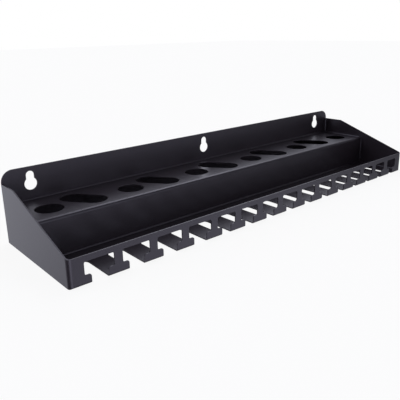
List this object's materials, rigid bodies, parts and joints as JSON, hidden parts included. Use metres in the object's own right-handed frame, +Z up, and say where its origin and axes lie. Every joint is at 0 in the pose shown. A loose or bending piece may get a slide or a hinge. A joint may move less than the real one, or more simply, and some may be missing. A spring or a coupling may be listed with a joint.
{
  "type": "plier rack",
  "caption": "Folded and welded sheet-steel rack that hangs on a wall or stands on a bench: pliers hang in T-shaped hooks along its front, other hand tools stand in its shelf.",
  "frame": {"origin": "middle of the rack's length and depth, on the plane that its bottom edges stand on", "axes": "+X along the rack to the right as seen from the front, +Y back to the wall, +Z up"},
  "size_m": [0.5, 0.128, 0.0713],
  "materials": {
    "powder_coated_sheet": "black satin powder coat on folded mild-steel sheet",
    "weld_metal": "steel fillet welds under the same black satin powder coat"
  },
  "bodies": {
    "root": {"back_panel": "powder_coated_sheet", "left_side_panel": "powder_coated_sheet", "right_side_panel": "powder_coated_sheet", "tool_shelf": "powder_coated_sheet", "plier_tray": "powder_coated_sheet", "shelf_weld": "weld_metal", "tray_weld": "weld_metal", "left_end_welds": "weld_metal", "right_end_welds": "weld_metal"}
  },
  "joints": []
}
